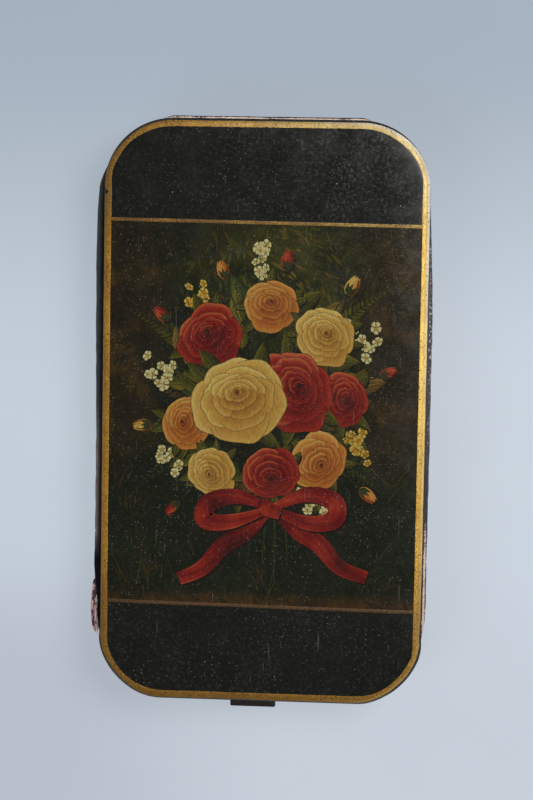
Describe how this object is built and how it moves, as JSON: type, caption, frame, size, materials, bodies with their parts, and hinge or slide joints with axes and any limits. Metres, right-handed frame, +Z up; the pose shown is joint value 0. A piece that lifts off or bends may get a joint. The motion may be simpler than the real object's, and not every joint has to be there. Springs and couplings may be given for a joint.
{
  "type": "cigar case",
  "caption": "Flat lacquered cigar case: two dished covers on a leather spine, with pleated leather sides and a spring clasp at the mouth.",
  "frame": {"origin": "centre of the back cover's flat outer face, on which the case lies", "axes": "+Z up through the front cover, +Y towards the hinge end, -Y towards the mouth and its clasp, +X towards the right side seen from the front"},
  "size_m": [0.079, 0.1398, 0.016],
  "materials": {
    "lacquered_board": "gloss",
    "case_leather": "satin",
    "lining_silk": "satin",
    "spring_steel": "satin"
  },
  "bodies": {
    "back": {"back_cover": "lacquered_board", "back_lining": "lining_silk", "keeper_plate": "spring_steel", "keeper_rivet_left": "spring_steel", "keeper_rivet_right": "spring_steel", "left_gusset": "case_leather", "right_gusset": "case_leather", "spine_leather": "case_leather", "spine_lining": "lining_silk"},
    "front": {"front_cover": "lacquered_board", "front_lining": "lining_silk", "catch_foot": "spring_steel", "foot_rivet_left": "spring_steel", "foot_rivet_right": "spring_steel"},
    "catch": {"catch_tongue": "spring_steel"}
  },
  "joints": [
    {"name": "cover_hinge", "type": "hinge", "parent": "back", "child": "front", "pos_m": [0, 0.0686, 0.008], "axis": [-1, 0, 0], "range_deg": [0, 18], "deforming": ["left_gusset", "right_gusset", "spine_leather", "spine_lining"]},
    {"name": "catch_press", "type": "hinge", "parent": "front", "child": "catch", "pos_m": [-0.0017, -0.065, 0.01315], "axis": [1, 0, 0], "range_deg": [0, 7], "stiffness_Nm_per_rad": 0.05}
  ]
}
